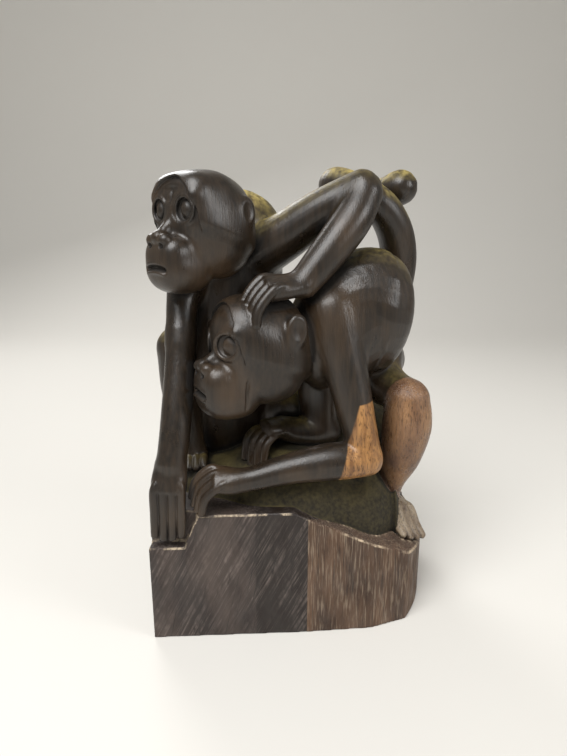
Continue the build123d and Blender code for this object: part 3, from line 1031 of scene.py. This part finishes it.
def elbow_sapwood(tree, paint):
    """Pale wood right of one slanting line and below another, over the paint."""
    pale = layered(
        tree, "#74502f",
        ("#a87b4a", grain(tree, 3.0, 40.0, 0.35, 0.65)),
        ("#4a301b", grain(tree, 0.7, 5.0, 0.52, 0.66, 0.85)),
    )
    right = beyond(tree, (1.0, 0.0, -0.26), 5.4, 6.4)
    below = beyond(tree, (0.1, 0.0, -1.0), -144.6, -143.8)
    return layered(tree, paint, (pale, where_all(tree, right, below)))


def waxed_ebony(name, shows_sapwood):
    material, tree = new_material(name)
    # The near-black coat in the hollows is painted shade.
    paint = layered(
        tree, "#1d1711",
        ("#30261c", grain(tree, 2.0, 60.0, 0.35, 0.72)),
        ("#544230", grain(tree, 30.0, 60.0, 0.48, 0.72, 0.5)),
        ("#0d0a07", marked(tree, "hollow", 0.25, 0.8, 0.75)),
    )
    if shows_sapwood:
        paint = elbow_sapwood(tree, paint)
    dust = where_all(
        tree, marked(tree, "upward", 0.3, 0.9), grain(tree, 3.5, 9.0, 0.28, 0.72),
        beyond(tree, (0.0, 1.0, 0.0), 34.0, 74.0),
    )
    paint = layered(tree, paint, (dust_colour, dust))
    worn = grain(tree, 12.0, 18.0, 0.3, 0.7)
    shine = add_node(
        tree, "ShaderNodeMapRange", {"Value": worn, "To Min": 0.26, "To Max": 0.4}
    ).outputs[0]
    hollow = marked(tree, "hollow", 0.3, 0.8)
    dull = add_node(tree, "ShaderNodeMath", {0: dust, 1: hollow}, operation="MAXIMUM").outputs[0]
    roughness = add_node(tree, "ShaderNodeMix", {0: dull, 2: shine, 3: 0.85}).outputs[0]
    close_material(tree, paint, roughness, grain(tree, 0.8, 10.0, 0.3, 0.7), 0.1)
    return material


ebony = waxed_ebony("waxed_ebony", False)
elbow_ebony = waxed_ebony("waxed_ebony_with_sapwood", True)
print("made:", ebony.name, elbow_ebony.name)

# %% [markdown]
# Sapwood, sanded but not stained: brown with dark upright flecks where the pores are cut, drawn coarser than
# they are so that they show. It turns dark towards the left, and its hollows are darkened as painted shade.
# The foot is the same wood, greyer from handling and dust.

# %% Sapwood finish
def sanded_sapwood(name, deep, light, dark_and_shade):
    material, tree = new_material(name)
    paint = layered(
        tree, deep,
        (light, grain(tree, 9.0, 30.0, 0.32, 0.66)),
        (dark_and_shade, grain(tree, 0.8, 7.0, 0.52, 0.68, 0.75)),
    )
    # Left of 62 mm it turns dark; its hollows are darkened as painted shade.
    paint = layered(
        tree, dark_and_shade,
        (paint, beyond(tree, (1.0, 0.0, 0.0), 62.0, 74.0)),
        (dark_and_shade, marked(tree, "hollow", 0.25, 0.7, 0.8)),
    )
    roughness = grain(tree, 6.0, 12.0, 0.2, 0.8, 0.6)
    close_material(tree, paint, roughness, grain(tree, 0.6, 5.0, 0.4, 0.65), 0.25)
    return material


pale_sapwood = sanded_sapwood("sanded_sapwood", "#5b4030", "#94704f", "#2e1f16")
grey_sapwood = sanded_sapwood("handled_sapwood", "#6b5a48", "#9c8c76", "#3a2f26")
print("made:", pale_sapwood.name, grey_sapwood.name)

# %% [markdown]
# The right of the base was split with an axe, not sawn: torn upright fibres with pale streaks, dull and
# rough, and chipped to bare wood along its upper edge.

# %% Split wood finish
def split_wood():
    material, tree = new_material("split_sapwood")
    paint = layered(
        tree, "#3d2d23",
        ("#664e3c", grain(tree, 14.0, 50.0, 0.35, 0.68)),
        ("#9c8b77", grain(tree, 0.9, 12.0, 0.5, 0.74, 0.7)),
        ("#1d1512", grain(tree, 0.8, 22.0, 0.56, 0.7, 0.8)),
        ("#cbb69a", chipped_rim(tree)),
    )
    roughness = grain(tree, 8.0, 20.0, 0.0, 0.6, 0.9)
    close_material(tree, paint, roughness, grain(tree, 1.0, 14.0, 0.3, 0.7), 1.2)
    return material


split_sapwood = split_wood()
print("made:", split_sapwood.name)

# %% [markdown]
# The left of the base is sawn ebony. The strokes of the saw left slanting scratches, 1 to 3 mm apart, and
# pale dust stayed in them. Right of the middle the wood is darker.

# %% Sawn wood finish
def sawn_wood():
    material, tree = new_material("sawn_ebony")
    cuts = where_all(
        tree, grain(tree, 1.2, 45.0, 0.46, 0.68, lean=-28.0), grain(tree, 24.0, 40.0, 0.3, 0.6)
    )
    paint = layered(
        tree, "#2b2320",
        ("#483d37", grain(tree, 16.0, 50.0, 0.35, 0.68)),
        ("#231b17", beyond(tree, (1.0, 0.0, 0.0), -17.5, -16.5)),
        ("#7d7069", where_all(tree, cuts, grain(tree, 2.5, 6.0, 0.3, 0.8))),
        ("#15100d", grain(tree, 0.7, 35.0, 0.6, 0.7, 0.7, lean=-12.0)),
        ("#b5a48c", chipped_rim(tree)),
    )
    close_material(tree, paint, grain(tree, 9.0, 20.0, 0.0, 0.7, 0.8), cuts, 0.4)
    return material


sawn_ebony = sawn_wood()
print("made:", sawn_ebony.name)

# %% [markdown]
# The ground was left from the gouge, with short scooped cuts, and greenish dust lies all over it. Its
# hollows are painted near black as shade.

# %% Gouged ground finish
def gouged_ground():
    material, tree = new_material("dusty_gouged_ebony")
    lying = where_all(
        tree, marked(tree, "upward", 0.4, 1.0), grain(tree, 16.0, 16.0, 0.35, 0.65, 0.6)
    )
    # The near-black coat in the hollows is painted shade.
    paint = layered(
        tree, "#1e190f",
        ("#3a331d", grain(tree, 2.2, 2.2, 0.35, 0.65)),
        ("#7d7043", lying),
        ("#0c0a06", marked(tree, "hollow", 0.2, 0.7, 0.8)),
    )
    place = add_node(tree, "ShaderNodeTexCoord").outputs["Object"]
    scoops = add_node(
        tree, "ShaderNodeTexVoronoi", {"Vector": place, "Scale": per_metre(9.0)}
    ).outputs["Distance"]
    close_material(tree, paint, 0.9, scoops, 2.2)
    return material


ground = gouged_ground()
print("made:", ground.name)

# %% [markdown]
# Most pieces are plain waxed ebony. The others are listed by the wood that they were cut from.

# %% Give each piece its finish
finish_of = {
    "lower_left_upper_arm": elbow_ebony, "lower_left_forearm": elbow_ebony,
    "lower_left_shin": pale_sapwood, "lower_left_foot": grey_sapwood,
    "base_sapwood": split_sapwood, "base_heartwood": sawn_ebony, "carved_ground": ground,
}
for name, piece in pieces.items():
    piece.data.materials.append(finish_of.get(name, ebony))
print("finishes in all:", len(set(finish_of.values())) + 1)

# %% [markdown]
# ## Stage and light
#
# A pale sheet that curves up behind the object, one large soft lamp above and in front, and an even sky.

# %% Make the stage
def make_stage():
    half_width, front, back, bend, top, steps = 3.0, -3.0, 1.6, 0.7, 2.6, 12
    rows = [(front, 0.0), (back - bend, 0.0)]
    for i in range(1, steps + 1):
        turn = math.radians(90.0 * i / steps)
        rows.append((back - bend + bend * math.sin(turn), bend - bend * math.cos(turn)))
    rows.append((back, top))
    points = [(x, y, z) for y, z in rows for x in (-half_width, half_width)]
    faces = [(2 * i, 2 * i + 1, 2 * i + 3, 2 * i + 2) for i in range(len(rows) - 1)]
    mesh = bpy.data.meshes.new("paper_sweep")
    mesh.from_pydata(points, [], faces)
    mesh.shade_smooth()
    sheet = bpy.data.objects.new("paper_sweep", mesh)
    bpy.context.scene.collection.objects.link(sheet)
    material, tree = new_material("matt_paper")
    shader = add_node(
        tree, "ShaderNodeBsdfPrincipled", {"Base Color": colour("#d9d6d0"), "Roughness": 0.9}
    )
    add_node(tree, "ShaderNodeOutputMaterial", {"Surface": shader.outputs[0]})
    mesh.materials.append(material)


def add_lamp(name, place, aim, size, power):
    data = bpy.data.lights.new(name, "AREA")
    data.shape = "DISK"
    data.size = size
    data.energy = power
    lamp = bpy.data.objects.new(name, data)
    lamp.location = place
    lamp.rotation_mode = "QUATERNION"
    lamp.rotation_quaternion = (Vector(aim) - Vector(place)).to_track_quat("-Z", "Y")
    bpy.context.scene.collection.objects.link(lamp)


make_stage()
middle = (cad_box[0] + cad_box[1]) / 2
for name, place, size, power in (
    ("soft_lamp_above", (-0.3, -0.6, 1.1), 0.9, 17.0),
    ("soft_lamp_right", (0.95, -0.5, 0.6), 0.5, 4.0),
    ("soft_lamp_behind", (-0.5, 0.9, 0.9), 0.6, 6.0),
):
    add_lamp(name, place, middle, size, power)
world = bpy.data.worlds.new("even_sky")
bpy.context.scene.world = world
world.use_nodes = True
sky = world.node_tree.nodes["Background"]
sky.inputs["Color"].default_value = colour("#dddcd8")
sky.inputs["Strength"].default_value = 0.45
bpy.context.scene.view_settings.view_transform = "Standard"
print("lamps:", len(bpy.data.lights))

# %% [markdown]
# ## Tie the pieces to the frame
#
# Each piece rides on the one body and stands in for its node, which is hidden.

# %% Tie pieces to the frame
for name, piece in pieces.items():
    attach(piece, "root")
    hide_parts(name)
triangles = 2 * sum(len(piece.data.polygons) for piece in pieces.values())
print("pieces:", len(pieces), "triangles:", triangles)

# %% [markdown]
# The last cell prints the size of the solids.

# %% Write the size of the solids
print("size of the solids, mm:", [round(v / mm, 1) for v in cad_box[1] - cad_box[0]])
